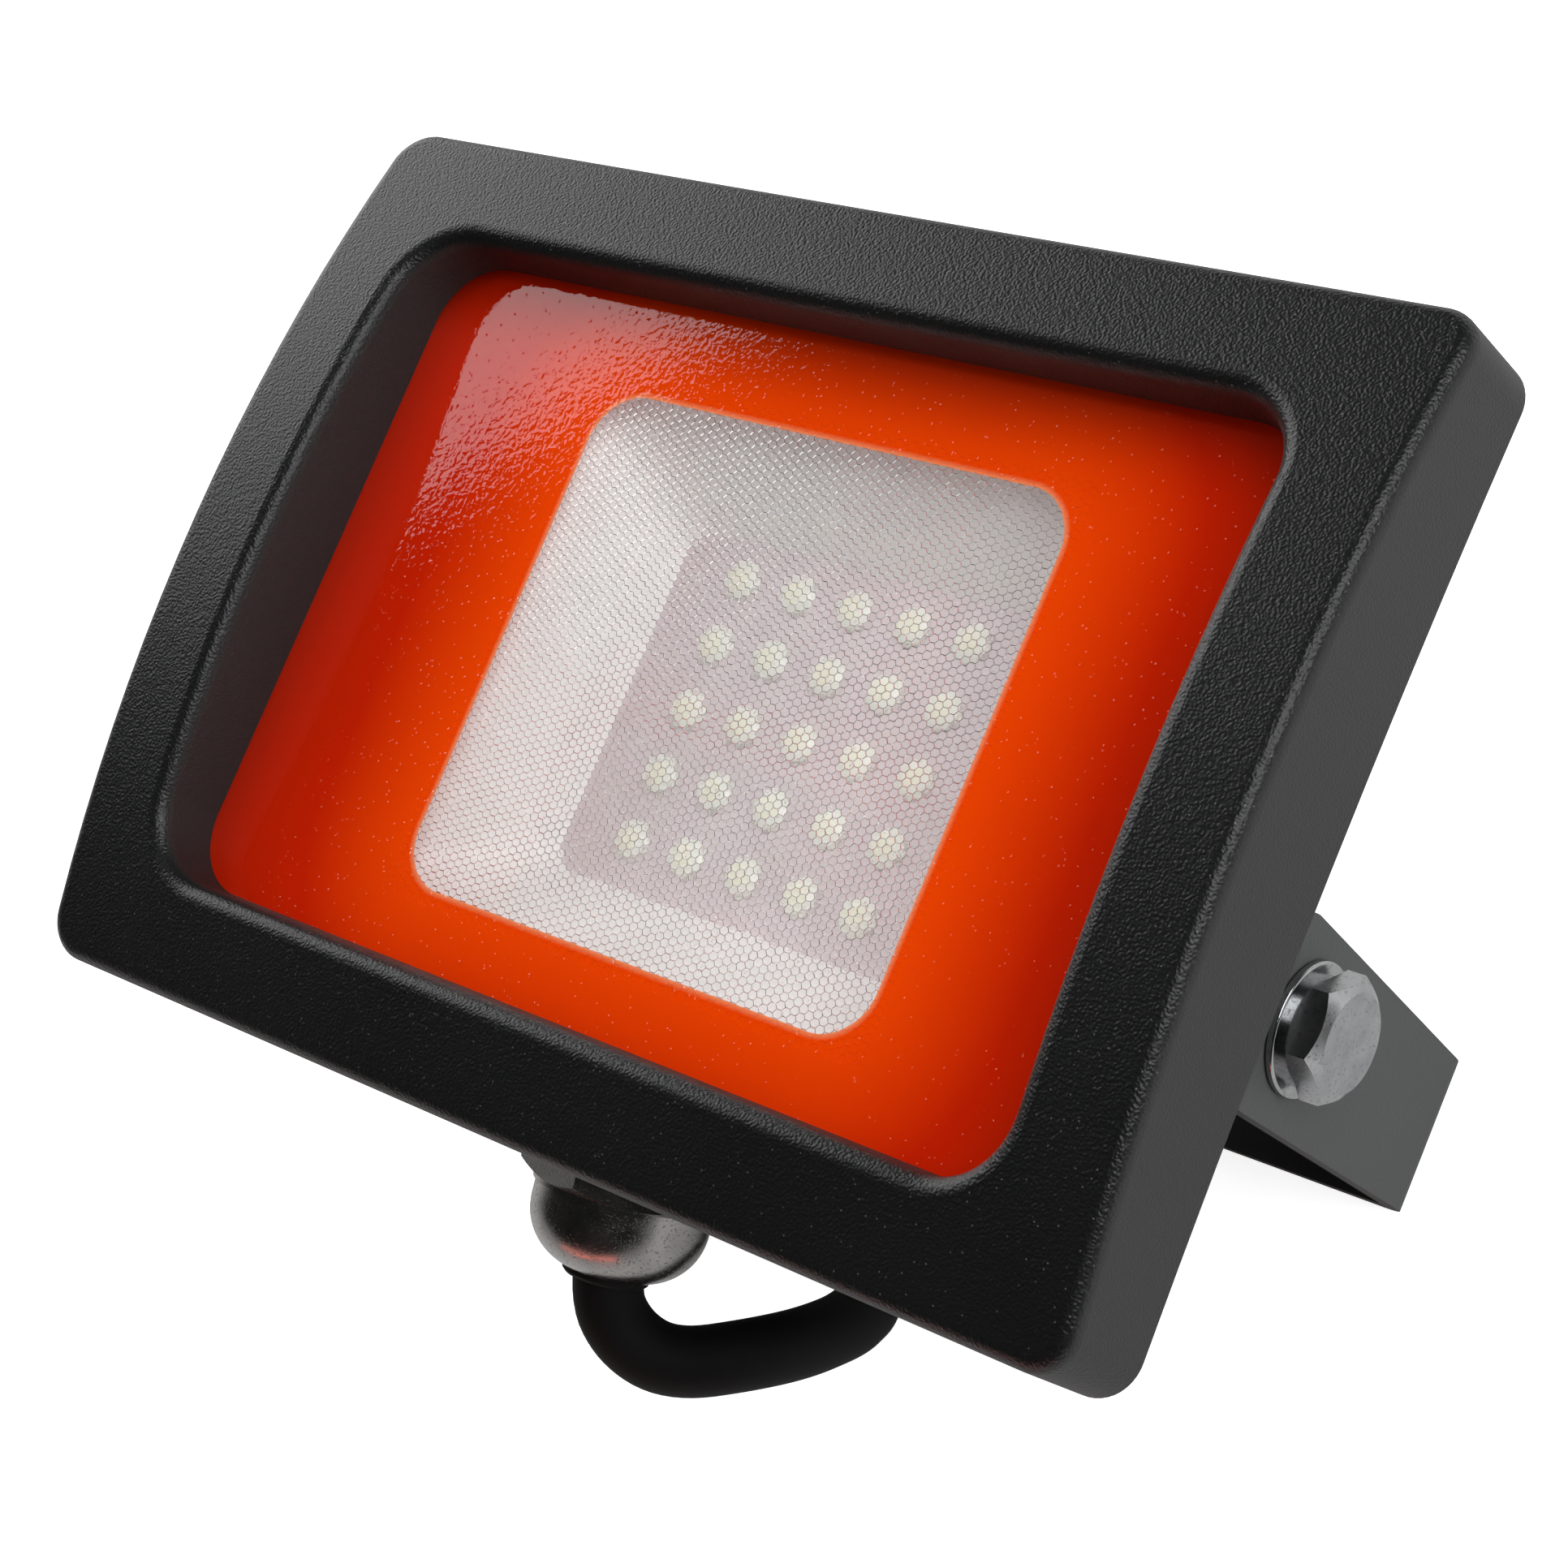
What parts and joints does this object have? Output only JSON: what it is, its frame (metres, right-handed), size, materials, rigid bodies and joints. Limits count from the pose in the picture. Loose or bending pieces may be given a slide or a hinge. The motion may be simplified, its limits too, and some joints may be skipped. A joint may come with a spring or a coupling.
{
  "type": "led flood light",
  "caption": "Small mains flood light: black cast head with a bowed frame and red-printed glass, tilting on bolts in a folded steel bracket, with a cable gland and short lead.",
  "frame": {"origin": "middle of the strap's mounting face", "axes": "+Z away from the mounting surface, the way the lamp shines at rest; X along the pivot axis; the cable gland points towards -Y"},
  "size_m": [0.1413, 0.1114, 0.0694],
  "materials": {
    "bracket_paint": "satin dark grey powder coat on folded steel",
    "black_casting": "fine-textured black powder coat on die-cast aluminium",
    "zinc_steel": "bright zinc-plated steel",
    "nickel_plate": "satin nickel-plated brass",
    "printed_glass": "toughened glass, orange-red print on its back round a clear prismatic window",
    "silicone": "black silicone",
    "white_plastic": "white moulded reflector",
    "bare_aluminium": "mill-finish sheet",
    "white_board": "white solder mask",
    "light_chip": "pale yellow phosphor in a white package",
    "green_board": "green solder mask",
    "component_plastic": "dark moulded parts",
    "component_can": "sleeved capacitor can",
    "black_rubber": "matte black rubber",
    "core_brown": "brown insulation",
    "core_blue": "blue insulation",
    "core_green_yellow": "green and yellow insulation"
  },
  "bodies": {
    "bracket": {"bracket": "bracket_paint"},
    "head": {"rear_housing": "black_casting", "front_bezel": "black_casting", "bezel_screws": "zinc_steel", "front_glass": "printed_glass", "glass_gasket": "silicone", "reflector": "white_plastic", "mounting_plate": "bare_aluminium", "plate_screws": "zinc_steel", "led_board": "white_board", "led_chips": "light_chip", "board_screws": "zinc_steel", "driver_board": "green_board", "driver_screws": "zinc_steel", "transformer": "component_plastic", "mains_capacitor": "component_can", "output_capacitor": "component_can", "choke": "component_plastic", "terminal_block": "component_plastic", "earth_screw": "zinc_steel", "gland_body": "nickel_plate", "gland_seal": "silicone", "gland_dome_nut": "nickel_plate", "gland_insert": "black_rubber", "pivot_bolt_left": "zinc_steel", "pivot_bolt_right": "zinc_steel", "flat_washer_left": "zinc_steel", "flat_washer_right": "zinc_steel", "cord_lead": "black_rubber", "core_brown": "core_brown", "core_blue": "core_blue", "core_earth": "core_green_yellow"}
  },
  "joints": [
    {"name": "tilt", "type": "hinge", "parent": "bracket", "child": "head", "pos_m": [0, 0.00205, 0.0315], "axis": [1, 0, 0], "range_deg": [-28, 45]}
  ]
}
